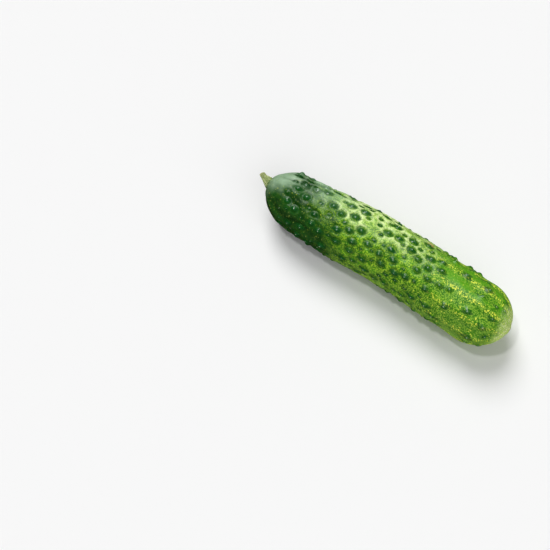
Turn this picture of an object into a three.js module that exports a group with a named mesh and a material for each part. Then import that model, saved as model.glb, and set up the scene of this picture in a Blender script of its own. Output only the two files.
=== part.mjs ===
// A small pickling cucumber as picked, lying on its side with the stub of its stem still on.
// Millimetres, +Z up. The stem end points to -X and the blossom end to +X. The fruit rests on Z = 0, on the
// tips of the warts along its belly.
import * as THREE from "three";
import { ConvexHull } from "three/addons/math/ConvexHull.js";
import { LoftGeometry } from "three/addons/geometries/LoftGeometry.js";

// The fruit's main form
const FRUIT_LENGTH = 116;
const BELLY_RADIUS = 13.4;
const NECK_LENGTH = 50; // how far from the stem the fruit goes on thickening
const NECK_TAPER = 0.25; // share of the radius that is missing at the stem end
const STEM_DOME = 13; // length of the rounding at the stem end
const BLOSSOM_DOME = 16; // length of the rounding at the blossom end
const SEAT_RADIUS = 2.3; // the small round face that the stem grows from
const SWAY = 0.8; // sideways swing of the centre line
const SWAY_PERIOD = 84;
const SWAY_PEAK = 58; // where along the fruit the centre line swings out most
const REST_LIFT = 0.3; // how far the lowest warts hold the smooth belly off the ground

// Low relief of the skin
const RIBS = 10;
const RIB_IN_MIDDLE = 0.1;
const RIB_AT_SHOULDER = 0.32;
const RIB_WANDER = 0.07; // radians a millimetre of the slow wave in the ribs' course
const SHOULDER_PLACES = [10, 106];
const SHOULDER_WIDTH = 10;
const LOBES = 3; // one for each seed chamber
const LOBE_HEIGHT = 0.22;
const LOBE_TWIST = 0.012; // radians a millimetre
// Slow uneven swells: height, waves along the fruit in radians a millimetre, waves round it, and shift
const SWELLS = [
  { height: 0.15, along: 0.13, round: 2, shift: 0.7 },
  { height: 0.12, along: 0.31, round: -3, shift: 2 },
  { height: 0.08, along: 0.52, round: 5, shift: 4.1 },
];
const SCAR_RADIUS = 1.3; // ring left by the flower at the blossom end
const SCAR_HEIGHT = 0.35;
const SCAR_WIDTH = 0.55;

// Warts
const SEED = 313;
const WARTS = 204;
const WART_SPACING = 3.75; // least distance between two centres
const WART_STRETCH = 1.15; // length of a wart over its width
const WART_FOOT = [1.85, 2.5]; // radius at the skin
const WART_HEIGHT = [0.8, 1.25];
const WART_ROUNDNESS = 2.6; // 2 gives a peak, more gives a knob
const FIRST_WART = 10;
// The share of warts kept in each stretch of the fruit, given by where the stretch ends
const WART_STRETCHES = [
  { until: 15, kept: 0.3 },
  { until: 52, kept: 1 },
  { until: 88, kept: 0.78 },
  { until: 111, kept: 0.36 },
];
const FADING_FROM = 86; // warts get lower from here to the blossom end
const FAINT_AT_BLOSSOM = 0.6; // height left at the blossom end

// The stem stub
const STEM_LENGTH = 4.8;
const STEM_FOOT_RADIUS = 2.6; // where it grows from the fruit
const STEM_CUT_RADIUS = 0.75;
const STEM_FLARE = 1.2; // 1 gives an even taper, more widens the foot alone
const STEM_RIBS = 5;
const STEM_RIB_HEIGHT = 0.09; // share of the radius
const STEM_LEAN = new THREE.Vector2(1.2, 2.3); // how far the cut end stands off the axis, in Y and Z
const STEM_BEND = 1.15; // 1 gives a straight stem, more bends it towards its cut end
const STEM_TILT = 0.5; // turn of the cut end's face, in radians
const STEM_SECTIONS = 7;
const STEM_SIDES = 20;

// Spacing of the mesh
const SKIN_STEP = 1.95;
const SEAT_SIDES = 12;
// Rings of points round the flower's scar, by their distance from the tip
const SCAR_RINGS = [
  { out: 1.25, sides: 9 },
  { out: 1.9, sides: 11 },
  { out: 2.8, sides: 12 },
];
const KNOB_SHARE = 0.52; // ring of points round a wart's top, as a share of its radius
const KNOB_SIDES = 7;
const FOOT_SIDES = 9;
const PROFILE_STEPS = 1500;

const skinGreen = new THREE.MeshStandardMaterial({ color: 0x4f8a2c, roughness: 0.38, metalness: 0 });
const stemGreen = new THREE.MeshStandardMaterial({ color: 0x98ab62, roughness: 0.7, metalness: 0 });

// Random numbers that come out the same in any language with 53 bits for whole numbers.
function seededDraw(seed) {
  let state = seed;
  return (low = 0, high = 1) => {
    state = (1664525 * state + 1013904223) % 4294967296;
    return low + ((high - low) * state) / 4294967296;
  };
}

const roundedEnd = (depth, reach) => Math.sqrt(1 - Math.max(0, 1 - depth / reach) ** 2);
const hump = (x, place, width) => Math.exp(-(((x - place) / width) ** 2));

// Where the stem's dome has the radius of the seat, measured from the dome's own tip
const seatThickness = BELLY_RADIUS * (1 - NECK_TAPER);
const SEAT_DEPTH = STEM_DOME * (1 - Math.sqrt(1 - (SEAT_RADIUS / seatThickness) ** 2));

// Radius of the smooth fruit at a distance along it from the seat
function radiusAt(along) {
  const neck = 1 - NECK_TAPER * Math.max(0, 1 - along / NECK_LENGTH) ** 2;
  const stemEnd = roundedEnd(along + SEAT_DEPTH, STEM_DOME);
  const blossomEnd = roundedEnd(FRUIT_LENGTH - along, BLOSSOM_DOME);
  return BELLY_RADIUS * neck * stemEnd * blossomEnd;
}

const centreLineY = (along) => SWAY * Math.cos((2 * Math.PI * (along - SWAY_PEAK)) / SWAY_PERIOD);

// The profile in short steps: its length over the skin, and the same length in units of the local radius
const profile = [];
for (let i = 0; i <= PROFILE_STEPS; i++) {
  const along = (FRUIT_LENGTH * (1 - Math.cos((Math.PI * i) / PROFILE_STEPS))) / 2;
  const radius = radiusAt(along);
  const last = profile[i - 1];
  const step = last ? Math.hypot(along - last.along, radius - last.radius) : 0;
  const thickness = last ? (radius + last.radius) / 2 : 1;
  profile.push({
    along,
    radius,
    over: last ? last.over + step : 0,
    turns: last ? last.turns + step / thickness : 0,
    area: last ? last.area + step * thickness : 0,
  });
}
const skinEnd = profile[PROFILE_STEPS];

// The smooth fruit's profile where one of its measures has the given value, between the nearest two steps
function profileAt(measure, value) {
  let low = 0;
  let high = PROFILE_STEPS;
  while (high - low > 1) {
    const halfway = (low + high) >> 1;
    if (profile[halfway][measure] <= value) low = halfway;
    else high = halfway;
  }
  const [a, b] = [profile[low], profile[high]];
  const share = Math.min(1, Math.max(0, (value - a[measure]) / (b[measure] - a[measure])));
  const between = (key) => a[key] + (b[key] - a[key]) * share;
  return {
    along: between("along"),
    radius: between("radius"),
    over: between("over"),
    turns: between("turns"),
    slope: Math.atan2(b.radius - a.radius, b.along - a.along),
  };
}

// A point of the smooth fruit in a space squeezed lengthwise, where a stretched wart is round
function squeezed({ along, radius }, angle) {
  return new THREE.Vector3(along / WART_STRETCH, radius * Math.sin(angle), radius * Math.cos(angle));
}

// The warts: drawn one at a time, kept where they are far enough from the others, fewer towards both ends
function placeWarts() {
  const draw = seededDraw(SEED);
  const lastWart = WART_STRETCHES.at(-1).until;
  const placed = [];
  while (placed.length < WARTS) {
    const along = draw(FIRST_WART, lastWart);
    const angle = draw(-Math.PI, Math.PI);
    const luck = draw();
    const foot = draw(...WART_FOOT);
    const height = draw(...WART_HEIGHT);
    if (luck > WART_STRETCHES.find((stretch) => along <= stretch.until).kept) continue;
    const spot = profileAt("along", along);
    const centre = squeezed(spot, angle);
    if (placed.some((wart) => wart.centre.distanceTo(centre) < WART_SPACING)) continue;
    placed.push({ ...spot, angle, foot, height, centre });
  }
  for (const wart of placed) {
    const others = placed.filter((other) => other !== wart);
    const room = Math.min(...others.map((other) => other.centre.distanceTo(wart.centre))) / 2;
    const fading = Math.max(0, wart.along - FADING_FROM) / (FRUIT_LENGTH - FADING_FROM);
    wart.foot = Math.min(wart.foot, room);
    wart.height *= (wart.foot / WART_FOOT[1]) * (1 - (1 - FAINT_AT_BLOSSOM) * Math.min(1, 2 * fading));
  }
  return placed;
}
const warts = placeWarts();

// Height of the skin over the smooth fruit, without the warts
function lowRelief(along, radius, angle) {
  const fade = (radius / BELLY_RADIUS) ** 2;
  const shoulder = SHOULDER_PLACES.reduce((sum, place) => sum + hump(along, place, SHOULDER_WIDTH), 0);
  const course = RIBS * angle + Math.sin(RIB_WANDER * along);
  const ribs = (RIB_IN_MIDDLE + RIB_AT_SHOULDER * shoulder) * Math.cos(course);
  const lobes = LOBE_HEIGHT * Math.cos(LOBES * angle + LOBE_TWIST * along);
  const swells = SWELLS.reduce((sum, wave) => {
    return sum + wave.height * Math.sin(wave.along * along + wave.round * angle + wave.shift);
  }, 0);
  const nearTip = along > FRUIT_LENGTH / 2 ? 1 : 0;
  const scar = nearTip * SCAR_HEIGHT * hump(radius, SCAR_RADIUS, SCAR_WIDTH);
  return fade * (ribs + lobes + swells) + scar;
}

function wartRelief(spot, angle) {
  const here = squeezed(spot, angle);
  return warts.reduce((sum, wart) => {
    const share = wart.centre.distanceTo(here) / wart.foot;
    return share < 1 ? sum + wart.height * (1 - share ** WART_ROUNDNESS) ** 2 : sum;
  }, 0);
}

// A point of the finished skin. Wart tips that would lie below the resting face are pressed up to it.
const RESTING_FACE = -(BELLY_RADIUS + REST_LIFT);
function skinPoint(spot, angle, height) {
  const outwards = spot.radius + height * Math.cos(spot.slope);
  return new THREE.Vector3(
    spot.along - height * Math.sin(spot.slope),
    centreLineY(spot.along) + outwards * Math.sin(angle),
    Math.max(RESTING_FACE, outwards * Math.cos(angle)),
  );
}

// The fruit's points: the seat, the warts, the flower's scar, and a spiral over the rest
function fruitPoints() {
  const points = [];
  const add = (spot, angle, raised = true) => {
    const height = raised ? lowRelief(spot.along, spot.radius, angle) + wartRelief(spot, angle) : 0;
    points.push({ spot, angle, place: skinPoint(spot, angle, height) });
  };
  const ring = (spot, sides, raised) => {
    for (let i = 0; i < sides; i++) add(spot, (2 * Math.PI * (i + 0.5)) / sides, raised);
  };

  add({ ...profile[0], radius: 0, turns: -Infinity, slope: Math.PI / 2 }, 0, false);
  ring({ ...profile[0], slope: Math.PI / 2 }, SEAT_SIDES, false);
  for (const { out, sides } of SCAR_RINGS) ring(profileAt("over", skinEnd.over - out), sides);
  add({ ...skinEnd, radius: 0, turns: Infinity, slope: -Math.PI / 2 }, 0, false);

  for (const wart of warts) {
    add(wart, wart.angle);
    for (const [share, sides] of [[KNOB_SHARE, KNOB_SIDES], [1, FOOT_SIDES]]) {
      for (let i = 0; i < sides; i++) {
        const way = (2 * Math.PI * i) / sides + wart.angle;
        const over = wart.over + share * wart.foot * WART_STRETCH * Math.cos(way);
        const spot = profileAt("over", over);
        add(spot, wart.angle + (share * wart.foot * Math.sin(way)) / spot.radius);
      }
    }
  }

  const cell = (SKIN_STEP ** 2 * Math.sqrt(3)) / 2;
  const count = Math.round((2 * Math.PI * skinEnd.area) / cell);
  const goldenAngle = Math.PI * (3 - Math.sqrt(5));
  for (let i = 0; i < count; i++) {
    const spot = profileAt("area", (skinEnd.area * (i + 0.5)) / count);
    const angle = (i * goldenAngle) % (2 * Math.PI);
    const here = squeezed(spot, angle);
    const onSeat = spot.over < 0.75 * SKIN_STEP;
    const onScar = skinEnd.over - spot.over < SCAR_RINGS.at(-1).out + 0.4 * SKIN_STEP;
    const onWart = warts.some((wart) => wart.centre.distanceTo(here) < wart.foot + 0.25 * SKIN_STEP);
    if (!onSeat && !onScar && !onWart) add(spot, angle);
  }
  return points;
}

// Joins the scattered points into triangles. Each is carried to a ball by the map that keeps angles, and the
// ball's convex hull then gives the triangles, with no seam and no pole.
function fruitGeometry() {
  const points = fruitPoints();
  const halfTurns = skinEnd.turns / 2;
  const order = new Map();
  const onBall = points.map(({ spot, angle }, i) => {
    const turns = spot.turns - halfTurns;
    const ring = Number.isFinite(turns) ? 1 / Math.cosh(turns) : 0;
    const at = new THREE.Vector3(Math.tanh(turns), ring * Math.sin(angle), ring * Math.cos(angle));
    order.set(at, i);
    return at;
  });
  const index = [];
  for (const face of new ConvexHull().setFromPoints(onBall).faces) {
    const first = face.edge;
    for (const edge of [first, first.next, first.next.next]) index.push(order.get(edge.head().point));
  }
  const geometry = new THREE.BufferGeometry();
  geometry.setFromPoints(points.map((point) => point.place));
  geometry.setIndex(index);
  geometry.computeVertexNormals();
  return geometry;
}

// The stem stub: a ribbed, tapering stalk that leans upwards and away from the fruit's axis, cut off square
function stemGeometry() {
  const sections = Array.from({ length: STEM_SECTIONS }, (_, i) => {
    const share = i / (STEM_SECTIONS - 1);
    const radius = STEM_CUT_RADIUS + (STEM_FOOT_RADIUS - STEM_CUT_RADIUS) * (1 - share) ** STEM_FLARE;
    const ribs = STEM_RIB_HEIGHT * Math.min(1, 2 * share + 0.3);
    const centre = new THREE.Vector3(
      -STEM_LENGTH * share,
      centreLineY(0) + STEM_LEAN.x * share ** STEM_BEND,
      STEM_LEAN.y * share ** STEM_BEND,
    );
    const tilt = share * STEM_TILT;
    return Array.from({ length: STEM_SIDES }, (_, side) => {
      const angle = (2 * Math.PI * side) / STEM_SIDES;
      const out = radius * (1 + ribs * Math.cos(STEM_RIBS * angle));
      const leanwards = out * Math.sin(angle);
      return new THREE.Vector3(
        centre.x + leanwards * Math.sin(tilt),
        centre.y + leanwards * Math.cos(tilt),
        centre.z + out * Math.cos(angle),
      );
    });
  });
  return new LoftGeometry(sections, { capStart: true, capEnd: true });
}

const fruit = new THREE.Mesh(fruitGeometry(), skinGreen);
fruit.name = "fruit";
const stem = new THREE.Mesh(stemGeometry(), stemGreen);
stem.name = "stem";

// The fruit and its stem together, with the origin under the middle of the whole
const cucumber = new THREE.Group();
cucumber.add(fruit, stem);
const box = new THREE.Box3().setFromObject(cucumber, true);
const middle = box.getCenter(new THREE.Vector3());
cucumber.position.set(-middle.x, -middle.y, -box.min.z);

export default cucumber;
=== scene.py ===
import math

import bpy
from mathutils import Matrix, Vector


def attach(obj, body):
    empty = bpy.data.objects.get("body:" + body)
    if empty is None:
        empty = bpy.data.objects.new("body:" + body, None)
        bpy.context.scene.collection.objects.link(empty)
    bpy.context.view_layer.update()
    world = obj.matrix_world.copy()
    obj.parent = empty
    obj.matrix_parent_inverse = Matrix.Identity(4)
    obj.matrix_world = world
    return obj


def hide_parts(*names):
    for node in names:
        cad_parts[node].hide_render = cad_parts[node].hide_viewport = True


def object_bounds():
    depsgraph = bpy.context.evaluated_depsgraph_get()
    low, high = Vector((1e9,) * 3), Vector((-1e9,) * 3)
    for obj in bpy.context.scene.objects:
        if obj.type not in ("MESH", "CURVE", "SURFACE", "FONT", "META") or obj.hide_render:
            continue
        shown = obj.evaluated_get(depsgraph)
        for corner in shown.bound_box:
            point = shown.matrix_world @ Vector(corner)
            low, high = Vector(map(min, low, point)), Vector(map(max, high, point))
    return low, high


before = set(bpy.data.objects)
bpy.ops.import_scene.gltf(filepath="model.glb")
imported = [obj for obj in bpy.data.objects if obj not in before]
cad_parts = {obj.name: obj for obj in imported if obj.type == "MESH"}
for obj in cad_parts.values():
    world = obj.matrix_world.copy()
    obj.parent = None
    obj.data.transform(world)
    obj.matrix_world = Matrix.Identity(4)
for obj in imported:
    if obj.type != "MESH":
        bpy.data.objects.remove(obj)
cad_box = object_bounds()

# The fruit
# One grown body with a thin waxy skin over firm flesh. It thickens from the stem to the belly, ends bluntly
# where the flower sat, and carries about 200 firm warts. It lies on the tips of the warts along its belly.

# Main form, in millimetres
FRUIT_LENGTH = 116.0
BELLY_RADIUS = 13.4
NECK_LENGTH = 50.0  # how far from the stem the fruit goes on thickening
NECK_TAPER = 0.25  # share of the radius that is missing at the stem end
STEM_DOME = 13.0  # length of the rounding at the stem end
BLOSSOM_DOME = 16.0
SEAT_RADIUS = 2.3  # the small round face that the stem grows from
SWAY = 0.8
SWAY_PERIOD = 84.0
SWAY_PEAK = 58.0
REST_LIFT = 0.3  # how far the lowest warts hold the smooth belly off the ground

# Low relief
RIBS = 10
RIB_IN_MIDDLE = 0.1
RIB_AT_SHOULDER = 0.32
RIB_WANDER = 0.07
SHOULDER_PLACES = (10.0, 106.0)
SHOULDER_WIDTH = 10.0
LOBES = 3
LOBE_HEIGHT = 0.22
LOBE_TWIST = 0.012
# Height, waves along the fruit, waves round it, and shift of each slow swell
SWELLS = ((0.15, 0.13, 2, 0.7), (0.12, 0.31, -3, 2.0), (0.08, 0.52, 5, 4.1))
SCAR_RADIUS = 1.3
SCAR_HEIGHT = 0.35
SCAR_WIDTH = 0.55

# Warts
WART_SEED = 313
WARTS = 204
WART_SPACING = 3.75
WART_STRETCH = 1.15  # how much longer a wart is than wide
WART_FOOT = (1.85, 2.5)  # smallest and largest radius where it meets the skin
WART_HEIGHT = (0.8, 1.25)
WART_ROUNDNESS = 2.6
FIRST_WART = 10.0
# Where each stretch of the fruit ends, and the share of warts kept there
WART_STRETCHES = ((15.0, 0.3), (52.0, 1.0), (88.0, 0.78), (111.0, 0.36))
FADING_FROM = 86.0
FAINT_AT_BLOSSOM = 0.6

# Small warts between the large ones
SMALL_SEED = 47
SMALL_TRIES = 900
SMALL_STRETCH = (10.0, 84.0)
SMALL_FOOT = (0.9, 1.7)
SMALL_HEIGHT = (0.25, 0.7)
SMALL_ROOM = 0.85  # how near a small wart may come, as a share of both feet together

# Shape of a wart
TOP_PART = 0.14  # share of a wart's height that its small raised top makes
TOP_SHARE = 0.42  # radius of that top, as a share of the wart's foot
RAGGED_EDGE = 0.34  # how far a wart's edge runs in and out, as a share of its foot
RAGGED_SCALE = 0.7  # waves a millimetre
SMUDGE = (0.72, 1.2, 1.2)  # the dark of a wart is drawn out lengthwise
SMALL_LOSS = 0.15  # how much sooner the dark of a small wart ends, as a share of its foot

# Fine relief between the warts. A stretch along the fruit fades in between its first two places, and out
# between its last two.
MIDDLE = ((8.0, 24.0), (112.0, 88.0))
NETTED = ((9.0, 18.0), (92.0, 62.0))
MOUND_HEIGHT = 0.25
MOUND_REACH = 3.3
MOUND_SINK = 0.85  # share of a mound's height by which the skin sinks between mounds
NET_HEIGHT = 0.75  # the skin between close warts stands over the hollow round each of them
NET_LEVELS = (-0.72, 0.28)  # floor of the hollow and top of the net, as shares of that height
NET_RISE = (1.5, 2.8)  # how far from a wart's centre the skin rises out of the hollow
NET_LEAN = 0.2  # share of that height lost from the far side to the top, and again to the near side
SMALL_RISE = 0.9  # how much sooner it rises round a small wart
LUMP_HEIGHT = 0.1
LUMP_SCALE = 0.55
GRAIN_HEIGHT = 0.03
GRAIN_SCALE = 1.9
WRINKLE_HEIGHT = 1.4  # lengthwise folds of the shoulder
WRINKLE_SCALE = 0.24
WRINKLE_STRETCH = (0.4, 1.0, 1.0)
WRINKLED = ((3.0, 10.0), (44.0, 24.0))
CREASES = 9  # short folds that run out from the stem
CREASE_HEIGHT = 0.16
CREASE_RADIUS = 4.2
CREASE_WIDTH = 1.7
CREASED_UNTIL = (8.0, 4.0)
SEAT_MARGIN = 1.2  # width of the ring round the stem in which the fine relief fades in
ROWS = 11  # lengthwise rows of yellow flecks
ROW_SWING = 0.6
ROW_WANDER = 0.06
ROW_TURN = 1.75

# Fineness of the mesh
STEPS_ALONG = 388
STEPS_ROUND = 254


class Value:
    """An output of a node. Sums and products of it add Math nodes to its tree."""

    def __init__(self, tree, socket):
        self.tree = tree
        self.socket = socket

    def maths(self, operation, *others):
        return self.tree.add("ShaderNodeMath", {"operation": operation}, self, *others)

    def __add__(self, other):
        return self.maths("ADD", other)

    def __sub__(self, other):
        return self.maths("SUBTRACT", other)

    def __rsub__(self, other):
        return self.tree.add("ShaderNodeMath", {"operation": "SUBTRACT"}, other, self)

    def __mul__(self, other):
        return self.maths("MULTIPLY", other)

    def __truediv__(self, other):
        return self.maths("DIVIDE", other)

    def __pow__(self, other):
        return self.maths("POWER", other)

    __radd__ = __add__
    __rmul__ = __mul__

    def other(self, name):
        """Another output of the same node."""
        return Value(self.tree, pick(self.socket.node.outputs, name))


def pick(sockets, key):
    """The socket with that name or place among those that the node's settings leave in use."""
    in_use = [socket for socket in sockets if socket.enabled]
    if isinstance(key, int):
        return in_use[key]
    return next(socket for socket in in_use if socket.name == key)


class Tree:
    """A node tree. Nodes are added by type, with their settings and what goes into their sockets."""

    def __init__(self, nodes):
        self.nodes = nodes

    def add(self, kind, settings=None, *values, output=0, **named):
        node = self.nodes.nodes.new(kind)
        for key, setting in (settings or {}).items():
            setattr(node, key, setting)
        named = {name.replace("_", " "): value for name, value in named.items()}
        for key, value in [*enumerate(values), *named.items()]:
            if isinstance(value, Value):
                self.nodes.links.new(value.socket, pick(node.inputs, key))
            else:
                pick(node.inputs, key).default_value = value
        return Value(self, pick(node.outputs, output)) if node.outputs else None

    def vector(self, operation, *values, output=0):
        return self.add("ShaderNodeVectorMath", {"operation": operation}, *values, output=output)

    def ramp(self, value, start, end, low=0.0, high=1.0):
        """A straight step from low to high while the value goes from start to end."""
        return self.add("ShaderNodeMapRange", None, value, start, end, low, high)

    def scaled(self, value, factor):
        return self.add("ShaderNodeVectorMath", {"operation": "SCALE"}, value, Scale=factor)

    def eased(self, value, start, end, low=0.0, high=1.0):
        """A smooth step from low to high while the value goes from start to end."""
        settings = {"interpolation_type": "SMOOTHSTEP"}
        return self.add("ShaderNodeMapRange", settings, value, start, end, low, high)


def above_zero(number):
    return number.maths("MAXIMUM", 0.0) if isinstance(number, Value) else max(0.0, number)


def sine(number):
    return number.maths("SINE")


def cosine(number):
    return number.maths("COSINE")


def hump(number, place, width):
    return (((number - place) / width) ** 2 * -1).maths("EXPONENT")


def rounded_end(depth, reach):
    return (1 - above_zero(1 - depth / reach) ** 2) ** 0.5


SEAT_DEPTH = STEM_DOME * (1 - math.sqrt(1 - (SEAT_RADIUS / (BELLY_RADIUS * (1 - NECK_TAPER))) ** 2))


def radius_at(along):
    """Radius of the smooth fruit at a distance from the seat. Takes a number or a node's output."""
    neck = 1 - NECK_TAPER * above_zero(1 - along / NECK_LENGTH) ** 2
    stem_end = rounded_end(along + SEAT_DEPTH, STEM_DOME)
    blossom_end = rounded_end(FRUIT_LENGTH - along, BLOSSOM_DOME)
    return BELLY_RADIUS * neck * stem_end * blossom_end


def seeded_draw(seed):
    """Draws that come out the same in every run, by the usual congruential rule for 32 bits."""
    state = seed

    def draw(low=0.0, high=1.0):
        nonlocal state
        state = (1664525 * state + 1013904223) % 2**32
        return low + (high - low) * state / 2**32

    return draw


def place_warts():
    """Centre, foot and height of each wart. The centres are in a space squeezed lengthwise, where warts are
    round."""
    draw = seeded_draw(WART_SEED)
    placed = []
    while len(placed) < WARTS:
        along = draw(FIRST_WART, WART_STRETCHES[-1][0])
        angle = draw(-math.pi, math.pi)
        luck = draw()
        foot = draw(*WART_FOOT)
        height = draw(*WART_HEIGHT)
        if luck > next(kept for until, kept in WART_STRETCHES if along <= until):
            continue
        radius = radius_at(along)
        centre = (along / WART_STRETCH, radius * math.sin(angle), radius * math.cos(angle))
        if all(math.dist(centre, wart[0]) >= WART_SPACING for wart in placed):
            placed.append((centre, foot, height))
    warts = []
    for centre, foot, height in placed:
        room = min(math.dist(centre, wart[0]) for wart in placed if wart[0] != centre) / 2
        fading = above_zero(centre[0] * WART_STRETCH - FADING_FROM) / (FRUIT_LENGTH - FADING_FROM)
        foot = min(foot, room)
        height *= (foot / WART_FOOT[1]) * (1 - (1 - FAINT_AT_BLOSSOM) * min(1, 2 * fading))
        warts.append((centre, foot, height))
    return warts


def place_small_warts(large):
    """Small warts, drawn one at a time and kept where they stand clear of all the others."""
    draw = seeded_draw(SMALL_SEED)
    small = []
    for _ in range(SMALL_TRIES):
        along = draw(*SMALL_STRETCH)
        angle = draw(-math.pi, math.pi)
        foot = draw(*SMALL_FOOT)
        height = draw(*SMALL_HEIGHT)
        radius = radius_at(along)
        centre = (along / WART_STRETCH, radius * math.sin(angle), radius * math.cos(angle))
        clear_of_large = all(math.dist(centre, wart[0]) > SMALL_ROOM * (foot + wart[1]) for wart in large)
        if clear_of_large and all(math.dist(centre, wart[0]) > 2 * SMALL_FOOT[1] for wart in small):
            small.append((centre, foot, height))
    return small


def centre_line(along):
    return SWAY * cosine((along - SWAY_PEAK) * (2 * math.pi / SWAY_PERIOD))


def rib_wave(along, angle):
    return cosine(RIBS * angle + sine(RIB_WANDER * along))


def low_relief(along, radius, angle):
    """Height of the skin over the smooth fruit, without the warts."""
    shoulder = sum(hump(along, place, SHOULDER_WIDTH) for place in SHOULDER_PLACES)
    relief = (RIB_IN_MIDDLE + RIB_AT_SHOULDER * shoulder) * rib_wave(along, angle)
    relief += LOBE_HEIGHT * cosine(LOBES * angle + LOBE_TWIST * along)
    for height, along_waves, round_waves, shift in SWELLS:
        relief += height * sine(along_waves * along + round_waves * angle + shift)
    near_tip = along.maths("GREATER_THAN", FRUIT_LENGTH / 2)
    scar = near_tip * SCAR_HEIGHT * hump(radius, SCAR_RADIUS, SCAR_WIDTH)
    return (radius / BELLY_RADIUS) ** 2 * relief + scar


def shape_rule(name, sizes):
    """An empty geometry tree with a named input for each size, and those inputs."""
    group = bpy.data.node_groups.new(name, "GeometryNodeTree")
    group.interface.new_socket("Geometry", in_out="INPUT", socket_type="NodeSocketGeometry")
    group.interface.new_socket("Geometry", in_out="OUTPUT", socket_type="NodeSocketGeometry")
    kinds = {
        float: "NodeSocketFloat",
        int: "NodeSocketInt",
        Vector: "NodeSocketVector",
        bpy.types.Object: "NodeSocketObject",
        bpy.types.Material: "NodeSocketMaterial",
    }
    for label, size in sizes.items():
        kind = kinds[type(size)]
        group.interface.new_socket(label, in_out="INPUT", socket_type=kind)
    inputs = group.nodes.new("NodeGroupInput")
    tree = Tree(group)
    return tree, {socket.name: Value(tree, socket) for socket in inputs.outputs if socket.name}


def finish_rule(tree, geometry, material):
    """Ends a geometry tree in one plain, smooth, painted mesh."""
    geometry = tree.add("GeometryNodeRealizeInstances", None, geometry)
    geometry = tree.add("GeometryNodeSetShadeSmooth", None, geometry)
    geometry = tree.add("GeometryNodeSetMaterial", None, geometry, Material=material)
    ending = tree.nodes.nodes.new("NodeGroupOutput")
    tree.nodes.links.new(geometry.socket, ending.inputs[0])


def in_scene(name, data):
    thing = bpy.data.objects.new(name, data)
    bpy.context.scene.collection.objects.link(thing)
    return thing


def grow(name, start, tree, sizes):
    """Runs a geometry tree on a starting mesh and keeps the result as a plain mesh in one object."""
    grown = in_scene(name, start)
    modifier = grown.modifiers.new(name, "NODES")
    modifier.node_group = tree.nodes
    for item in tree.nodes.interface.items_tree:
        if item.in_out == "INPUT" and item.name in sizes:
            modifier[item.identifier] = sizes[item.name]
    evaluated = grown.evaluated_get(bpy.context.evaluated_depsgraph_get())
    mesh = bpy.data.meshes.new_from_object(evaluated)
    grown.modifiers.remove(modifier)
    grown.data = mesh
    mesh.name = name
    return grown


def stored(tree, geometry, name, value, kind="FLOAT"):
    settings = {"data_type": kind, "domain": "POINT"}
    return tree.add("GeometryNodeStoreNamedAttribute", settings, geometry, Name=name, Value=value)


def marked(tree, geometry, **marks):
    """Stores a number for each point under every given name."""
    for mark, value in marks.items():
        geometry = stored(tree, geometry, mark, value)
    return geometry


def read(tree, name, kind="FLOAT"):
    return tree.add("GeometryNodeInputNamedAttribute", {"data_type": kind}, Name=name)


def swept(tree, steps_along, steps_round):
    """A tube of evenly numbered points. Each keeps its share of the way along and its angle round."""
    line = tree.add("GeometryNodeCurvePrimitiveLine", None, End=(1.0, 0.0, 0.0))
    line = tree.add("GeometryNodeResampleCurve", None, line, Count=steps_along)
    way = tree.add("GeometryNodeSplineParameter", None, output="Factor")
    line = stored(tree, line, "way", way)
    circle = tree.add("GeometryNodeCurvePrimitiveCircle", None, Resolution=steps_round, Radius=0.1)
    circle = stored(tree, circle, "angle", way * (2 * math.pi))
    tube = tree.add("GeometryNodeCurveToMesh", None, line, Profile_Curve=circle, Fill_Caps=True)
    return tube, read(tree, "way"), read(tree, "angle")


def closed(tree, tube, distance):
    """The tube with its faces turned outwards and its points joined at both ends."""
    tube = tree.add("GeometryNodeFlipFaces", None, tube)
    return tree.add("GeometryNodeMergeByDistance", None, tube, Distance=distance)


def placed_points(tree, geometry, position=None, offset=None):
    named = {"Position": position} if position else {"Offset": offset}
    return tree.add("GeometryNodeSetPosition", None, geometry, **named)


def xyz(tree, x, y, z):
    return tree.add("ShaderNodeCombineXYZ", None, x, y, z)


def noise(tree, place, scale, detail=2.0):
    """Noise from -0.5 to 0.5."""
    return tree.add("ShaderNodeTexNoise", None, Vector=place, Scale=scale, Detail=detail) - 0.5


def stretch(tree, value, fade_in, fade_out):
    """1 on one stretch of a value's range, with a smooth step from 0 before it and back to 0 past it."""
    return tree.eased(value, *fade_in) * tree.eased(value, *fade_out)


def laid_down(tree, place, seat):
    """A place in the fruit's own millimetres, swayed, pressed flat below and set on the seat, in metres."""
    parts = tree.add("ShaderNodeSeparateXYZ", None, place)
    depth = parts.other("Z").maths("MAXIMUM", -(BELLY_RADIUS + REST_LIFT))
    swayed = xyz(tree, parts, parts.other("Y") + centre_line(parts), depth)
    return tree.vector("ADD", tree.scaled(swayed, 0.001), seat)


def fine_relief(tree, size, place, along, radius, angle, gap, hollow, fold):
    """Height of the small forms between the warts, by the distance from the nearest large wart and from the
    nearest wart of any size."""
    netted = stretch(tree, along, *NETTED)
    mounded = stretch(tree, along, *MIDDLE) - netted
    mounds = size["Mound Height"] * mounded * (tree.eased(gap, MOUND_REACH, 0.0) - MOUND_SINK)
    net = netted * (1 - NET_LEAN + NET_LEAN * sine(angle)) * tree.eased(hollow, *NET_RISE, *NET_LEVELS)
    lumps = size["Lump Height"] * noise(tree, place, LUMP_SCALE)
    grain = size["Grain Height"] * noise(tree, place, GRAIN_SCALE)
    creases = cosine(CREASES * angle + sine(3 * angle)) * hump(radius, CREASE_RADIUS, CREASE_WIDTH)
    creases = size["Crease Height"] * tree.eased(along, *CREASED_UNTIL) * creases
    return mounds + size["Net Height"] * net + lumps + grain + size["Wrinkle Height"] * fold + creases


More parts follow.
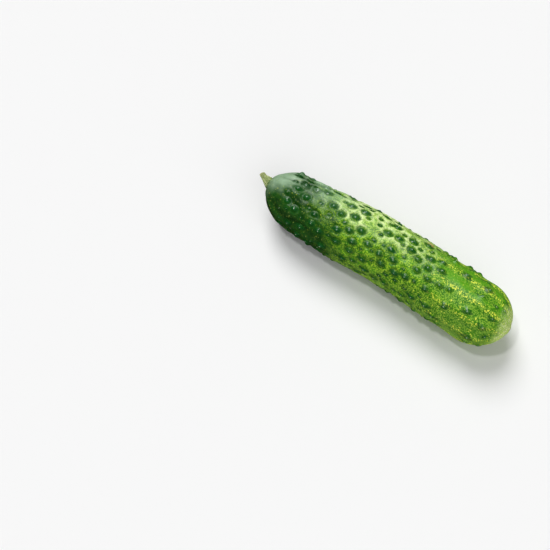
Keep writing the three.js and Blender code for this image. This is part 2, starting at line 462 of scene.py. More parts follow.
def skin_rule(sizes):
    """Grows the skin round the wart centres that the tree is given."""
    tree, size = shape_rule("Cucumber skin", sizes)
    tube, way, angle = swept(tree, size["Steps Along"], size["Steps Round"])
    whole = FRUIT_LENGTH + SEAT_DEPTH
    first_turn = math.acos(1 - 2 * SEAT_DEPTH / whole)
    turn = first_turn + (math.pi - first_turn) * way
    along = (1 - cosine(turn)) * (whole / 2) - SEAT_DEPTH
    before_tip = way.maths("LESS_THAN", 1 - 1e-5)
    radius = radius_at(along) * before_tip

    skin = placed_points(tree, tube, xyz(tree, along, radius * sine(angle), radius * cosine(angle)))
    skin = closed(tree, skin, distance=0.001)
    skin = marked(tree, skin, along=along)
    along = read(tree, "along")

    place = tree.add("GeometryNodeInputPosition")
    squeezed = tree.vector("MULTIPLY", place, (1 / WART_STRETCH, 1.0, 1.0))
    ragged = 1 - RAGGED_EDGE * (noise(tree, place, RAGGED_SCALE) + 0.5)

    def nearest_wart(centres):
        """Distance from the nearest wart, plain and drawn out lengthwise, and its foot, height and tone."""
        nearest = tree.add("GeometryNodeSampleNearest", {"domain": "POINT"}, centres, squeezed)

        def of_nearest(value, kind="FLOAT"):
            settings = {"data_type": kind, "domain": "POINT"}
            return tree.add("GeometryNodeSampleIndex", settings, centres, value, nearest)

        offset = tree.vector("SUBTRACT", squeezed, of_nearest(place, "FLOAT_VECTOR"))
        gap = tree.vector("LENGTH", offset, output="Value")
        drawn_gap = tree.vector("LENGTH", tree.vector("MULTIPLY", offset, SMUDGE), output="Value")
        foot, height, tone = [of_nearest(read(tree, mark)) for mark in ("foot", "height", "tone")]
        return gap, drawn_gap, foot * ragged, height, tone

    named = {"Selection": read(tree, "small").maths("GREATER_THAN", 0.5)}
    small_centres = tree.add("GeometryNodeSeparateGeometry", {"domain": "POINT"}, size["Geometry"], **named)
    gap, drawn_gap, foot, height, tone = nearest_wart(small_centres.other("Inverted"))
    small_gap, small_drawn_gap, small_foot, small_height, small_tone = nearest_wart(small_centres)
    share = gap / foot
    small_share = small_gap / small_foot
    hollow = gap.maths("MINIMUM", small_gap + SMALL_RISE)
    on_small = small_share.maths("LESS_THAN", share)
    fold = noise(tree, tree.vector("MULTIPLY", place, WRINKLE_STRETCH), WRINKLE_SCALE)
    fold = fold * stretch(tree, along, *WRINKLED)
    skin = marked(
        tree,
        skin,
        wart_share=share.maths("MINIMUM", small_share + SMALL_LOSS),
        wart_smudge=(drawn_gap / foot).maths("MINIMUM", small_drawn_gap / small_foot + SMALL_LOSS),
        wart_gap=hollow,
        wart_tone=tone + (small_tone - tone) * on_small,
        radius=radius,
        rib=rib_wave(along, angle),
        row=cosine(ROWS * angle + ROW_SWING * sine(ROW_WANDER * along) + ROW_TURN),
        fold=fold,
    )

    knob = (1 - TOP_PART) * above_zero(1 - share**WART_ROUNDNESS) ** 2
    top = TOP_PART * above_zero(1 - (share / TOP_SHARE) ** 2)
    small_knob = small_height * above_zero(1 - small_share**2) ** 2
    fine = fine_relief(tree, size, place, along, radius, angle, gap, hollow, fold)
    off_seat = tree.eased(radius, SEAT_RADIUS, SEAT_RADIUS + SEAT_MARGIN)
    relief = low_relief(along, radius, angle) + height * (knob + top) + small_knob + fine * off_seat
    outwards = tree.scaled(tree.add("GeometryNodeInputNormal"), relief)
    skin = placed_points(tree, skin, offset=outwards)
    skin = placed_points(tree, skin, laid_down(tree, place, size["Seat"]))
    finish_rule(tree, skin, size["Skin"])
    return tree


def lin(red, green, blue):
    """A colour given as it shows on a screen, 0 to 255, as the shaders take it."""
    shown = [level / 255 for level in (red, green, blue)]
    return (*(((s + 0.055) / 1.055) ** 2.4 if s > 0.04045 else s / 12.92 for s in shown), 1.0)


def new_material(name):
    material = bpy.data.materials.new(name)
    material.use_nodes = True
    material.node_tree.nodes.clear()
    return material, Tree(material.node_tree)


def painted(tree, under, over, share):
    """One colour laid over another by a share."""
    settings = {"data_type": "RGBA", "blend_type": "MIX"}
    return tree.add("ShaderNodeMix", settings, share, under, over)


def surface(tree, base, roughness, height=None, bump=0.0, **constants):
    """Ends a material in one waxy or dull surface."""
    named = dict(constants, Base_Color=base, Roughness=roughness)
    if height:
        named["Normal"] = tree.add("ShaderNodeBump", None, Strength=bump, Distance=0.001, Height=height)
    shader = tree.add("ShaderNodeBsdfPrincipled", None, **named)
    tree.add("ShaderNodeOutputMaterial", None, shader)


def attribute(tree, name):
    return tree.add("ShaderNodeAttribute", {"attribute_name": name}, output="Fac")


def in_millimetres(tree):
    return tree.scaled(tree.add("ShaderNodeTexCoord", None, output="Object"), 1000.0)


def dots(tree, place, scale, size, share, spread=0.7):
    """Round flecks. The scale is in cells a millimetre, the size and its spread are parts of a cell, and the
    share is how many of the cells hold a fleck."""
    cell = tree.add("ShaderNodeTexVoronoi", None, Vector=place, Scale=scale, output="Distance")
    luck = tree.add("ShaderNodeSeparateColor", None, cell.other("Color"))
    reach = size * (1.2 - spread + spread * luck.other("Green"))
    fleck = tree.eased(cell / reach, 1.0, 0.5)
    return fleck * luck.maths("LESS_THAN", share)


# Colours of the skin
GRASS_GREEN = lin(44, 110, 2)
FRESH_GREEN = lin(80, 152, 4)
LIGHT_END_GREEN = lin(62, 134, 6)
LIGHT_END_STREAK = lin(44, 114, 22)
UNDERSIDE_GREEN = lin(150, 198, 84)
DARK_END_GREEN = lin(14, 68, 12)
DARK_END_RIB = lin(36, 98, 28)
VIVID_GREEN = lin(94, 172, 4)
STIPPLE_YELLOW = lin(178, 222, 50)
STIPPLE_AT_LIGHT_END = lin(158, 206, 58)
SPARSE_YELLOW = lin(190, 214, 96)
FLECK_YELLOW = lin(246, 254, 84)
HOLLOW_SHADE_GREEN = lin(24, 88, 10)
NET_HIGHLIGHT = lin(222, 254, 150)
NET_CREST_HIGHLIGHT = lin(238, 255, 186)
WART_GREEN = lin(20, 82, 28)
WART_TOP_SHEEN = lin(60, 118, 80)
WART_TIP_PALE_AND_GLINT = lin(214, 230, 204)
FOLD_SHADE = lin(8, 44, 12)
WAX_BLOOM_AND_SHEEN = lin(172, 204, 168)
RIM_PALE = lin(214, 242, 124)
RIM_FLECK = lin(246, 252, 196)
SCAR_BROWN = lin(140, 126, 72)
STEM_RING_GREEN = lin(98, 130, 62)
SCUFF_BROWN = lin(166, 146, 76)

# Where along the fruit each look fades in, in millimetres from the stem end. The pale net also ends again.
LIGHT_END = (60.0, 96.0)
DARK_END = (42.0, 16.0)
FLECK_ROWS = (62.0, 98.0)
NET_STARTS = (24.0, 40.0)
NET_ENDS = (86.0, 56.0)
BLOOM_AND_SHEEN_END = (46.0, 22.0)
RIM_END = (110.0, 116.0)
BORDER_WANDER = 20  # how far the mottling shifts most of these borders

# How far from a wart's centre the skin round it changes, in millimetres
HOLLOW_EDGE = (2.5, 1.8)
RIDGE_EDGE = (1.8, 2.9)
RIDGE_FADES = (2.9, 4.2)
CREST = ((1.8, 2.3), (3.1, 2.5))

# How far from its centre a wart itself changes, as shares of its foot
WART_EDGE = (1.02, 0.58)
WART_TOP_EDGE = (0.5, 0.15)
WART_TIP_EDGE = (0.17, 0.07)
WART_GLOSS_EDGE = (1.0, 0.3)

# How far from their middle the marks at the ends and the scuff reach, in millimetres
SCAR_EDGE = (SCAR_RADIUS + 0.6, SCAR_RADIUS - 0.5)
STEM_RING_EDGE = (4.6, 2.4)
SCUFF_EDGE = (2.0, 0.8)
SCUFF_PLACE = (16.2, 10.4, 22.2)


def skin_paint():
    """Waxy green skin: dark at the stem, then lighter, with rows of yellow flecks towards the blossom end."""
    material, tree = new_material("Cucumber skin")
    place = in_millimetres(tree)
    marks = ("along", "wart_share", "wart_smudge", "wart_gap", "wart_tone", "radius", "rib", "row", "fold")
    along, share, smudge, gap, tone, radius, rib, row, fold = [attribute(tree, mark) for mark in marks]
    parts = tree.add("ShaderNodeSeparateXYZ", None, place)
    side = parts.other("Y") / BELLY_RADIUS
    upwards = parts.other("Z") / BELLY_RADIUS - 1
    drawn_out = tree.vector("MULTIPLY", place, (0.2, 1.0, 1.0))
    patch = noise(tree, drawn_out, scale=0.22)
    streak = noise(tree, drawn_out, scale=0.75)
    mottle = noise(tree, place, scale=0.14, detail=3.0)
    grain = noise(tree, place, scale=1.3, detail=3.0)
    drifted = along + BORDER_WANDER * mottle

    # Tone of the bare skin, paler on its underside as a ground spot and as painted light from the floor
    light_end = tree.eased(drifted, *LIGHT_END)
    # The dark stem end reaches up to 12 mm further along the near side; that extra stretch is painted shade
    dark_end = tree.eased(along + 26 * mottle + 12 * side + 14 * streak, *DARK_END)
    green = painted(tree, GRASS_GREEN, FRESH_GREEN, tree.eased(patch + 0.5 * streak, -0.14, 0.16))
    green = painted(tree, green, LIGHT_END_GREEN, light_end * 0.6)
    deeper = light_end * tree.eased(streak + 0.5 * mottle, 0.04, 0.24)
    green = painted(tree, green, LIGHT_END_STREAK, deeper * 0.8)
    # Painted light: the lower side is lightened as if lit from the white floor, together with a paler ground
    # spot
    underside = tree.eased(upwards + 0.6 * mottle, 0.35, -0.4)
    green = painted(tree, green, UNDERSIDE_GREEN, underside * 0.62)
    green = painted(tree, green, DARK_END_GREEN, dark_end)
    green = painted(tree, green, DARK_END_RIB, dark_end * (0.5 + 0.5 * rib) * 0.4)

    # A vivid patch with few flecks runs along the upper side of the light end, between the rows
    plain = light_end * tree.eased(2 * streak - row, -0.3, 0.2)
    plain = plain * tree.eased(side + 2 * patch, -0.1, 0.3)
    green = painted(tree, green, VIVID_GREEN, plain * 0.75)

    # Flecks: a fine stipple, scattered dots seen at the dark end, and larger ones in rows at the light end
    wobble = tree.add("ShaderNodeTexNoise", None, Vector=place, Scale=2.4, output="Color")
    wobble = tree.scaled(tree.vector("SUBTRACT", wobble, (0.5, 0.5, 0.5)), 0.6)
    uneven = tree.vector("ADD", place, wobble)
    stipple = dots(tree, uneven, scale=2.0, size=0.64, share=0.9, spread=0.4)
    tint = painted(tree, STIPPLE_YELLOW, STIPPLE_AT_LIGHT_END, light_end)
    green = painted(tree, green, tint, stipple * (0.85 - 0.8 * dark_end) * (1 - 0.85 * plain))
    sparse = dots(tree, uneven, scale=1.2, size=0.27, share=0.45)
    green = painted(tree, green, SPARSE_YELLOW, sparse * 0.8)
    rows = tree.eased(drifted, *FLECK_ROWS) * tree.eased(row + streak, 0.5, 0.9)
    flecks = dots(tree, uneven, scale=1.6, size=0.6, share=0.03 + 0.75 * rows + 0.04 * light_end)
    green = painted(tree, green, FLECK_YELLOW, flecks * (0.3 + 0.7 * light_end) * (1 - 0.6 * plain))

    # The hollow round each wart, and the pale net between them with its brighter crest
    # Painted shade: a darker green in the hollow round each wart
    hollow = tree.eased(gap + 0.6 * grain, *HOLLOW_EDGE) * (1 - light_end) * 0.5
    green = painted(tree, green, HOLLOW_SHADE_GREEN, hollow)
    # Painted highlight: the pale net and its brighter crest, laid only on the upper side that faces the
    # window light
    upper = tree.eased(side + 1.2 * mottle, -0.25, 0.15)
    broken = tree.eased(noise(tree, place, scale=0.4, detail=3.0) + 0.4 * grain, -0.12, 0.1, 0.3, 1.0)
    netted = tree.eased(drifted, *NET_STARTS) * tree.eased(along, *NET_ENDS) * upper * broken
    ridge = tree.eased(gap + 1.2 * grain + streak, *RIDGE_EDGE)
    brink_highlight = ridge * (1 - 0.6 * tree.eased(gap, *RIDGE_FADES)) * (0.65 + 0.35 * stipple)
    green = painted(tree, green, NET_HIGHLIGHT, brink_highlight * netted * 1.1)
    crest_highlight = stretch(tree, gap + 0.6 * grain, *CREST)
    green = painted(tree, green, NET_CREST_HIGHLIGHT, crest_highlight * netted * 0.6)

    # The warts, with painted sheen on top and a pale tip, partly spine stub and partly painted glint
    edge = smudge + 0.4 * grain + (0.2 + 2.4 * light_end) * streak + 0.05 * (1 - upper)
    wart = tree.eased(edge, *WART_EDGE) * (0.98 - 0.3 * tone - 0.15 * light_end)
    green = painted(tree, green, WART_GREEN, wart)
    # Painted sheen: a paler bluish green over the top of each wart
    green = painted(tree, green, WART_TOP_SHEEN, tree.eased(share + grain, *WART_TOP_EDGE) * 0.4)
    # The pale tip of each wart: partly the spine's pale stub, partly a painted glint
    green = painted(tree, green, WART_TIP_PALE_AND_GLINT, tree.eased(share, *WART_TIP_EDGE) * (0.8 - 0.5 * tone))

    # The dark end: painted shade in its folds, and the wax bloom that dulls its upper side, with painted
    # sheen
    # Painted shade: the low parts of the shoulder's folds are darkened
    green = painted(tree, green, FOLD_SHADE, tree.eased(fold, 0.0, -0.2) * dark_end * 0.6)
    # Wax bloom with painted sheen: a pale grey-green laid mostly on the upper, far side of the stem end
    high = side + 0.45 * tree.eased(along, 16.0, 2.0) + 0.8 * mottle
    bloom_and_sheen = tree.eased(high, -0.2, 0.45) * tree.eased(drifted, *BLOOM_AND_SHEEN_END) * tree.eased(upwards, -0.25, 0.4)
    bloom_and_sheen = bloom_and_sheen * (0.4 + 0.25 * ridge - 0.4 * hollow + 0.6 * streak + 1.6 * fold)
    green = painted(tree, green, WAX_BLOOM_AND_SHEEN, bloom_and_sheen * (1 - 0.7 * sparse))

    # Both ends: a whitish rim and a brown scar at the blossom end, and a paler ring round the stem
    rim = tree.eased(along + 10 * mottle, *RIM_END)
    green = painted(tree, green, RIM_PALE, rim * 0.75)
    green = painted(tree, green, RIM_FLECK, rim * dots(tree, uneven, scale=1.4, size=0.6, share=0.8))
    near_tip = along.maths("GREATER_THAN", FRUIT_LENGTH / 2)
    scar = near_tip * tree.eased(radius + 1.2 * grain, *SCAR_EDGE)
    green = painted(tree, green, SCAR_BROWN, scar)
    round_stem = (1 - near_tip) * tree.eased(radius + 2 * grain, *STEM_RING_EDGE)
    green = painted(tree, green, STEM_RING_GREEN, round_stem * 0.7)

    # A small brown scuff high on the back
    from_scuff = tree.vector("DISTANCE", place, SCUFF_PLACE, output="Value")
    scuff = tree.eased(from_scuff + 2.5 * grain + 2 * streak, *SCUFF_EDGE)
    green = painted(tree, green, SCUFF_BROWN, scuff * 0.8)

    # Gloss and pores
    pores = noise(tree, place, scale=2.6, detail=3.0) * (1 - 0.9 * wart)
    roughness = 0.42 + 0.14 * pores - 0.07 * dark_end - 0.22 * tree.eased(share, *WART_GLOSS_EDGE)
    roughness = roughness + 0.3 * scar + 0.2 * scuff
    height = 0.12 * pores + 0.02 * stipple + 0.03 * flecks
    surface(tree, green, roughness, height, bump=0.7, Specular_IOR_Level=0.4)
    return material


def seat_place():
    """Middle of the flat face at the fruit's stem end, in metres."""
    points = [vertex.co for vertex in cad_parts["fruit"].data.vertices]
    seat_x = min(point.x for point in points)
    rim = [point for point in points if point.x < seat_x + 1e-6]
    ends = [[pick_end(point[axis] for point in rim) for pick_end in (min, max)] for axis in (1, 2)]
    return Vector((seat_x, sum(ends[0]) / 2, sum(ends[1]) / 2))


def point_mesh(name, places, **marks):
    """Loose points, each with a number or an arrow under every given name."""
    mesh = bpy.data.meshes.new(name)
    mesh.from_pydata(places, [], [])
    for mark, values in marks.items():
        is_arrow = isinstance(values[0], Vector)
        layer = mesh.attributes.new(mark, "FLOAT_VECTOR" if is_arrow else "FLOAT", "POINT")
        for item, value in zip(layer.data, values):
            setattr(item, "vector" if is_arrow else "value", value)
    return mesh


large_warts = place_warts()
small_warts = place_small_warts(large_warts)
is_small = [0.0] * len(large_warts) + [1.0] * len(small_warts)
tone_draw = seeded_draw(WART_SEED + 1)
tones = [tone_draw() for wart in is_small]
places, feet, heights = zip(*large_warts, *small_warts)
centres = point_mesh("wart_centres", places, foot=feet, height=heights, tone=tones, small=is_small)

seat = seat_place() - Vector((0.0, SWAY * math.cos(2 * math.pi * SWAY_PEAK / SWAY_PERIOD), 0.0)) / 1000
fruit_sizes = {
    "Steps Along": STEPS_ALONG,
    "Steps Round": STEPS_ROUND,
    "Mound Height": MOUND_HEIGHT,
    "Net Height": NET_HEIGHT,
    "Lump Height": LUMP_HEIGHT,
    "Grain Height": GRAIN_HEIGHT,
    "Wrinkle Height": WRINKLE_HEIGHT,
    "Crease Height": CREASE_HEIGHT,
    "Seat": seat,
    "Skin": skin_paint(),
}
fruit = grow("fruit_skin", centres, skin_rule(fruit_sizes), fruit_sizes)
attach(fruit, "root")
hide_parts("fruit")

# The spines
# A short pale prickle stands on the top of most warts. It is one stiff hair of the skin, mostly broken short
# in handling, and it is worn off the warts that the fruit lies on.
SPINE_LENGTH = 0.36
SPINE_RADIUS = 0.14
SPINE_SIDES = 7
SPINE_RINGS = 3
SPINE_SUNK = 0.1
SPINE_SIZES = (0.6, 1.15)
SPINE_LEAN = 0.35
SPINE_SEED = 21
SPINES_KEPT = 0.85
CLEAR_OF_FLOOR = 1.6  # a wart whose top is lower than this has no spine
ABOVE_WART = 0.6  # how far over a wart the search for its top starts
SPINE_FOOT_GREEN = lin(120, 150, 96)
SPINE_STRAW = lin(222, 226, 196)
SPINE_TIP_BROWN = lin(150, 128, 84)


def random_number(tree, low, high, seed):
    settings = {"data_type": "FLOAT_VECTOR" if isinstance(low, tuple) else "FLOAT"}
    return tree.add("FunctionNodeRandomValue", settings, low, high, Seed=seed)


def stood_on(tree, points, piece, direction, scale):
    """A copy of a small piece on each point, with its Z axis along a direction."""
    rotation = tree.add("FunctionNodeAlignRotationToVector", {"axis": "Z"}, Vector=direction)
    named = {"Instance": piece, "Rotation": rotation, "Scale": scale}
    return tree.add("GeometryNodeInstanceOnPoints", None, points, **named)


def prickle(tree, length, radius, sides, rings, sunk):
    """A slim cone along Z, in metres, that keeps its share of the way up."""
    depth = length / 1000
    named = {"Vertices": sides, "Side_Segments": rings, "Radius_Bottom": radius / 1000, "Depth": depth}
    cone = tree.add("GeometryNodeMeshCone", None, **named)
    up = tree.add("ShaderNodeSeparateXYZ", None, tree.add("GeometryNodeInputPosition")).other("Z")
    cone = marked(tree, cone, up=up / depth)
    return placed_points(tree, cone, offset=(0.0, 0.0, -sunk / 1000))


def spine_rule(sizes):
    """Finds each wart's top on the finished skin and stands a spine there."""
    tree, size = shape_rule("Cucumber spines", sizes)
    place = tree.add("GeometryNodeInputPosition")
    reach = tree.scaled(read(tree, "outwards", "FLOAT_VECTOR"), read(tree, "height") + ABOVE_WART)
    over = laid_down(tree, tree.vector("ADD", place, reach), size["Seat"])
    skin = tree.add("GeometryNodeObjectInfo", None, size["Fruit"], output="Geometry")

    def on_skin(value):
        settings = {"data_type": "FLOAT_VECTOR"}
        return tree.add("GeometryNodeSampleNearestSurface", settings, skin, value, Sample_Position=over)

    top = on_skin(place)
    facing = on_skin(tree.add("GeometryNodeInputNormal"))
    points = stored(tree, size["Geometry"], "direction", facing, "FLOAT_VECTOR")
    points = placed_points(tree, points, top)
    height = tree.add("ShaderNodeSeparateXYZ", None, place).other("Z")
    too_low = height.maths("LESS_THAN", CLEAR_OF_FLOOR / 1000)
    lost = random_number(tree, 0.0, 1.0, SPINE_SEED).maths("GREATER_THAN", SPINES_KEPT)
    named = {"Selection": too_low.maths("MAXIMUM", lost)}
    points = tree.add("GeometryNodeDeleteGeometry", {"domain": "POINT"}, points, **named)
    lean = random_number(tree, (-SPINE_LEAN,) * 3, (SPINE_LEAN,) * 3, SPINE_SEED + 1)
    direction = tree.vector("ADD", read(tree, "direction", "FLOAT_VECTOR"), lean)
    spine = prickle(tree, size["Length"], SPINE_RADIUS, SPINE_SIDES, SPINE_RINGS, SPINE_SUNK)
    spines = stood_on(tree, points, spine, direction, random_number(tree, *SPINE_SIZES, SPINE_SEED + 2))
    finish_rule(tree, spines, size["Spine"])
    return tree


def spine_paint():
    """Pale straw, greener at the foot and darker at the broken tip."""
    material, tree = new_material("Cucumber spine")
    up = attribute(tree, "up")
    speckle = noise(tree, in_millimetres(tree), scale=4.0)
    straw = painted(tree, SPINE_FOOT_GREEN, SPINE_STRAW, tree.eased(up + speckle, 0.05, 0.4))
    straw = painted(tree, straw, SPINE_TIP_BROWN, tree.eased(up + speckle, 0.85, 1.1))
    surface(tree, straw, 0.5 + 0.2 * speckle)
    return material


def leaving_skin(centre):
    """Direction in which the smooth skin faces at a wart's centre."""
    along = centre[0] * WART_STRETCH
    step = 0.1
    slope = (radius_at(along + step / 2) - radius_at(along - step / 2)) / step
    angle = math.atan2(centre[1], centre[2])
    return Vector((-slope, math.sin(angle), math.cos(angle))).normalized()


feet_places = [(x * WART_STRETCH, y, z) for x, y, z in places]
directions = [leaving_skin(centre) for centre in places]
wart_tops = point_mesh("wart_tops", feet_places, height=heights, outwards=directions)
spine_sizes = {"Length": SPINE_LENGTH, "Seat": seat, "Fruit": fruit, "Spine": spine_paint()}
spines = grow("spines", wart_tops, spine_rule(spine_sizes), spine_sizes)
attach(spines, "root")

# The stem
# The stub of the stalk that the fruit was picked with. It is stiff ribbed plant fibre that grows out of a
# flared foot on the fruit's end, leans upwards, and dries brown and hollow where it was cut.
STEM_LENGTH = 4.8
STEM_FOOT_RADIUS = 2.6
STEM_CUT_RADIUS = 0.75
STEM_FLARE = 1.2  # 1 gives an even taper, more widens the foot alone
STEM_RIBS = 5
STEM_RIB_HEIGHT = 0.09
STEM_LEAN = (1.2, 2.3)
STEM_BEND = 1.15
STEM_TILT = 0.5
STEM_SWELL = 0.28  # the cut end is bruised a little thicker than the stalk below it
STEM_SWELL_AT = (0.92, 0.16)  # share of the stalk's length where it swells, and width of the swelling
STEM_FIBRES = 23
STEM_FIBRE_HEIGHT = 0.018
FOOT_PART = 0.08  # share of the way that runs from the middle of the foot to its edge
CUT_PART = 0.2  # share of the way that runs from the edge of the cut to its middle
FOOT_SUNK = 0.25
CUT_DEPTH = 0.55
CUT_SLOPE = (0.12, 0.75)  # share of the way into the cut over which it gets deeper
CUT_RUN = (0.5, 0.3)  # how far the hollow runs back against the lean, as shares of its depth
STEM_STEPS_ALONG = 96
STEM_STEPS_ROUND = 92
STALK_GREEN = lin(120, 146, 72)
STALK_PALE = lin(206, 214, 150)
STALK_FOOT_GREEN = lin(78, 118, 56)
STALK_STRAW = lin(176, 178, 120)
STALK_SPECK_SHADE = lin(96, 106, 52)
STALK_SPECK_GLINT = lin(236, 236, 190)
CUT_BROWN = lin(112, 98, 58)
CUT_HOLLOW_BROWN = lin(58, 42, 26)


def stem_rule(sizes):
    """Grows the stalk as one tube: out over its foot, up its side, and in over the edge of the hollow cut."""
    tree, size = shape_rule("Cucumber stem", sizes)
    tube, way, angle = swept(tree, size["Steps Along"], size["Steps Round"])
    share = tree.ramp(way, FOOT_PART, 1 - CUT_PART)
    foot = tree.ramp(way, 0.0, FOOT_PART)
    cut = tree.ramp(way, 1 - CUT_PART, 1.0)
    radius = STEM_CUT_RADIUS + (STEM_FOOT_RADIUS - STEM_CUT_RADIUS) * (1 - share) ** STEM_FLARE
    radius = radius + STEM_SWELL * hump(share, *STEM_SWELL_AT)
    ribs = STEM_RIB_HEIGHT * (2 * share + 0.3).maths("MINIMUM", 1.0) * cosine(STEM_RIBS * angle)
    fibre = cosine(STEM_FIBRES * angle + 2 * sine(3 * angle))

    def lumps(length, width, scale):
        """Noise over the stalk. A larger length makes it finer along the stalk, a larger width across it."""
        return noise(tree, xyz(tree, share * length, width * sine(angle), width * cosine(angle)), scale)

    withered = lumps(length=3, width=2, scale=0.7)
    rough = lumps(length=10, width=4, scale=0.9)
    out = radius * (1 + ribs + STEM_FIBRE_HEIGHT * fibre + (0.1 + 0.3 * share) * withered + 0.4 * rough)
    out = out * foot**0.5 * (1 - cut)
    lean_way = share**STEM_BEND
    tilt = share * STEM_TILT
    dish = size["Cut Depth"] * tree.eased(cut, *CUT_SLOPE)
    leanwards = out * sine(angle)
    x = dish - STEM_LENGTH * share + FOOT_SUNK * tree.eased(share, 0.12, 0.0)
    y = lean_way * STEM_LEAN[0] + leanwards * cosine(tilt) - dish * CUT_RUN[0]
    z = lean_way * STEM_LEAN[1] + out * cosine(angle) - dish * CUT_RUN[1]
    place = xyz(tree, x + leanwards * sine(tilt), y, z)
    place = tree.vector("ADD", tree.scaled(place, 0.001), size["Seat Middle"])
    stem = closed(tree, placed_points(tree, tube, place), distance=0.000004)
    stem = marked(tree, stem, share=share, cut=cut, fibre=fibre)
    finish_rule(tree, stem, size["Stem"])
    return tree


def stem_paint():
    """Dull pale green with lengthwise fibres, drying to straw and brown at the cut."""
    material, tree = new_material("Cucumber stem")
    place = in_millimetres(tree)
    share = attribute(tree, "share")
    cut = attribute(tree, "cut")
    fibre = attribute(tree, "fibre")
    blotch = noise(tree, place, scale=0.9, detail=3.0)
    grain = noise(tree, place, scale=2.2)
    green = painted(tree, STALK_GREEN, STALK_PALE, tree.eased(fibre + 2 * blotch, -0.6, 0.9))
    green = painted(tree, green, STALK_FOOT_GREEN, tree.eased(share + 0.3 * blotch, 0.16, 0.0))
    green = painted(tree, green, STALK_STRAW, tree.eased(share + 0.5 * blotch, 0.62, 1.0) * 0.7)
    # Painted shade and painted glints: dark and pale specks scattered by noise over the stalk
    green = painted(tree, green, STALK_SPECK_SHADE, tree.eased(grain, 0.06, 0.2) * 0.6)
    green = painted(tree, green, STALK_SPECK_GLINT, tree.eased(grain, -0.06, -0.2) * 0.6)
    green = painted(tree, green, CUT_BROWN, tree.eased(cut + 0.3 * grain, 0.0, 0.3))
    green = painted(tree, green, CUT_HOLLOW_BROWN, tree.eased(cut + 0.4 * grain, 0.5, 0.9))
    surface(tree, green, 0.72 + 0.2 * grain, 0.1 * grain + 0.05 * fibre, bump=0.6)
    return material


stem_sizes = {
    "Steps Along": STEM_STEPS_ALONG,
    "Steps Round": STEM_STEPS_ROUND,
    "Cut Depth": CUT_DEPTH,
    "Seat Middle": seat_place(),
    "Stem": stem_paint(),
}
empty = bpy.data.meshes.new("empty")
stem = grow("stem_stub", empty, stem_rule(stem_sizes), stem_sizes)
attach(stem, "root")
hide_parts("stem")

# The hairs on the stem
# Short stiff pale hairs grow scattered over the stalk's skin and stand off it towards the cut end.
HAIR_LENGTH = 0.8
HAIR_RADIUS = 0.035
HAIR_SIDES = 3
HAIR_RINGS = 2
HAIR_SUNK = 0.05
HAIR_SIZES = (0.4, 1.1)
HAIR_LEAN = 0.5
HAIR_SEED = 5
HAIRS = 4.5e6  # hairs a square metre
HAIR_SWEEP = (-0.5, 0.2, 0.1)  # how far the hairs turn towards the cut end
BARE_FOOT = 0.12  # share of the stalk's length at its foot that has no hairs
HAIR_ROOT_GREEN = lin(170, 190, 130)
HAIR_PALE = lin(236, 238, 220)


def hair_rule(sizes):
    """Scatters hairs over the finished stalk, but not on its foot or its cut."""
    tree, size = shape_rule("Stem hairs", sizes)
    stalk = tree.add("GeometryNodeObjectInfo", None, size["Stalk"], output="Geometry")
    on_foot = read(tree, "share").maths("LESS_THAN", BARE_FOOT)
    on_cut = read(tree, "cut").maths("GREATER_THAN", 0.01)
    settings = {"distribute_method": "RANDOM"}
    named = {"Density": size["Hairs"], "Selection": 1 - on_foot.maths("MAXIMUM", on_cut), "Seed": HAIR_SEED}
    points = tree.add("GeometryNodeDistributePointsOnFaces", settings, stalk, **named)
    lean = random_number(tree, (-HAIR_LEAN,) * 3, (HAIR_LEAN,) * 3, HAIR_SEED + 1)
    direction = tree.vector("ADD", tree.vector("ADD", points.other("Normal"), lean), HAIR_SWEEP)
    hair = prickle(tree, size["Length"], HAIR_RADIUS, HAIR_SIDES, HAIR_RINGS, HAIR_SUNK)
    hairs = stood_on(tree, points, hair, direction, random_number(tree, *HAIR_SIZES, HAIR_SEED + 2))
    finish_rule(tree, hairs, size["Hair"])
    return tree


def hair_paint():
    """Almost white, greener at the root."""
    material, tree = new_material("Stem hair")
    up = attribute(tree, "up")
    pale = painted(tree, HAIR_ROOT_GREEN, HAIR_PALE, tree.eased(up, 0.0, 0.6))
    surface(tree, pale, 0.5 + 0.1 * up)
    return material


hair_sizes = {"Hairs": HAIRS, "Length": HAIR_LENGTH, "Stalk": stem, "Hair": hair_paint()}
hairs = grow("stem_hairs", empty, hair_rule(hair_sizes), hair_sizes)
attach(hairs, "root")

# The floor, the light and the camera
# A wide matt white floor. A soft window light comes from above the far side, a small light puts a spark on
# each wart, and a wide fill from the near side softens the shadow. The camera looks down on the fruit from
# beside its blossom end.
FLOOR_HALF = 3.0
FLOOR_WHITE = (0.9, 0.9, 0.9, 1.0)
floor_mesh = bpy.data.meshes.new("floor")
corners = [(x * FLOOR_HALF, y * FLOOR_HALF, 0) for x, y in ((-1, -1), (1, -1), (1, 1), (-1, 1))]
floor_mesh.from_pydata(corners, [], [(0, 1, 2, 3)])
floor = in_scene("floor", floor_mesh)
floor_paint, floor_tree = new_material("Pale floor")
surface(floor_tree, FLOOR_WHITE, roughness=0.9)
floor_mesh.materials.append(floor_paint)

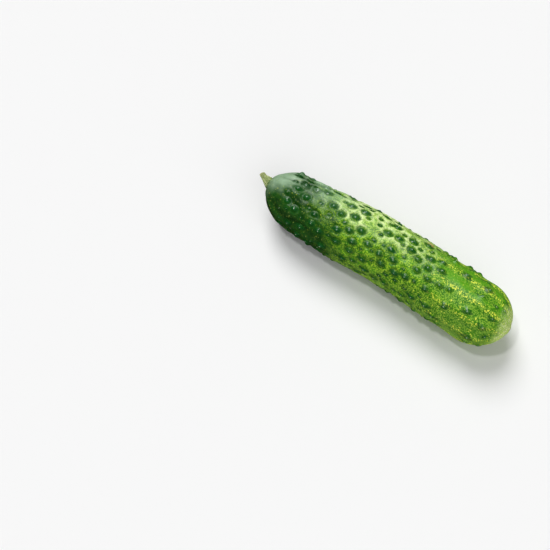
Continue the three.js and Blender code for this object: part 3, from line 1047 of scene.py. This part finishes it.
WORLD_STRENGTH = 0.16
world = bpy.data.worlds.new("Studio")
bpy.context.scene.world = world
world.use_nodes = True
sky = world.node_tree.nodes["Background"].inputs
sky["Color"].default_value = (1.0, 1.0, 1.0, 1.0)
sky["Strength"].default_value = WORLD_STRENGTH

AZIMUTH = math.radians(34.0)
ELEVATION = math.radians(69.0)
DISTANCE = 0.534  # in metres, as the next two
LEFT_OF_MIDDLE = 0.0442
BELOW_MIDDLE = 0.0099
LENS = 85
NEAREST = 0.01  # nothing nearer to the camera than this is shown
flat = Vector((math.sin(AZIMUTH), -math.cos(AZIMUTH), 0))
right = Vector((math.cos(AZIMUTH), math.sin(AZIMUTH), 0))
back = flat * math.cos(ELEVATION) + Vector((0, 0, math.sin(ELEVATION)))
up = back.cross(right)


def aimed(thing, place, target):
    thing.location = place
    thing.rotation_mode = "QUATERNION"
    thing.rotation_quaternion = (Vector(target) - Vector(place)).to_track_quat("-Z", "Y")


def add_sun(name, strength, width, direction):
    """A light as wide as the given angle, from a direction off the camera's own right, up and back."""
    sun = in_scene(name, bpy.data.lights.new(name, "SUN"))
    sun.data.energy = strength
    sun.data.angle = math.radians(width)
    aimed(sun, right * direction[0] + up * direction[1] + back * direction[2], (0, 0, 0))
    return sun


add_sun("window", strength=2.15, width=32, direction=(-0.18, 0.85, 0.54))
add_sun("spark", strength=0.55, width=5, direction=(-0.3, 0.4, 0.86))
fill = add_sun("fill", strength=0.95, width=70, direction=(0.38, -0.45, 0.8))

# The floor, the fill and the sky stay out of reflections, so the skin keeps its depth of colour
floor.visible_glossy = False
fill.visible_glossy = False
world.cycles_visibility.glossy = False

camera = in_scene("camera", bpy.data.cameras.new("camera"))
camera.data.lens = LENS
camera.data.clip_start = NEAREST
middle_of_part = (cad_box[0] + cad_box[1]) / 2
aim = middle_of_part - right * LEFT_OF_MIDDLE - up * BELOW_MIDDLE
aimed(camera, aim + back * DISTANCE, aim)
bpy.context.scene.camera = camera
bpy.context.scene.view_settings.view_transform = "Standard"
